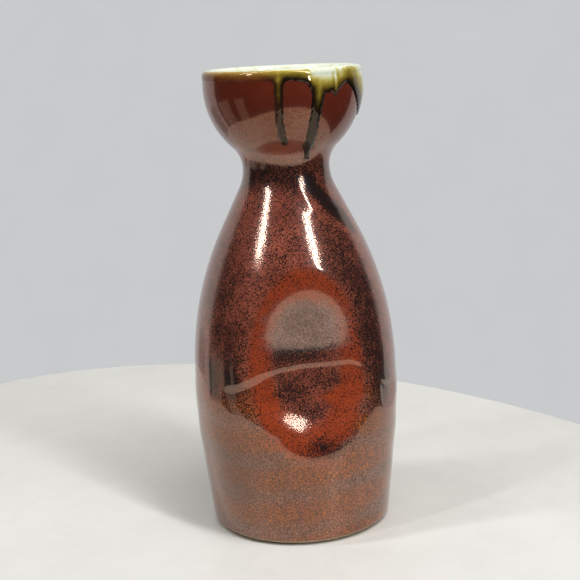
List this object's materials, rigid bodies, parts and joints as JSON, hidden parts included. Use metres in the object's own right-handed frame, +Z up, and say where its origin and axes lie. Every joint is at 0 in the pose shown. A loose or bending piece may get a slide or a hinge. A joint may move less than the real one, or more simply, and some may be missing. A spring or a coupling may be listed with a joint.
{
  "type": "sake bottle",
  "caption": "Stoneware sake bottle with a cup-shaped mouth, a narrow neck, a rounded body with a pressed thumb dimple, and brown iron glaze with cream ash-glaze runs.",
  "frame": {"origin": "centre of the foot, in the plane that the bottle stands on", "axes": "+Z up through the mouth, -Y out of the middle of the thumb dimple, +X to the right of someone facing the dimple"},
  "size_m": [0.0744, 0.0737, 0.165],
  "materials": {
    "stoneware": "matte",
    "iron_glaze": "gloss",
    "liner_glaze": "gloss",
    "rim_glaze": "gloss",
    "glaze_runs": "gloss"
  },
  "bodies": {
    "root": {"stoneware_body": "stoneware", "iron_glaze": "iron_glaze", "liner_glaze": "liner_glaze", "rim_glaze": "rim_glaze", "glaze_runs": "glaze_runs"}
  },
  "joints": []
}
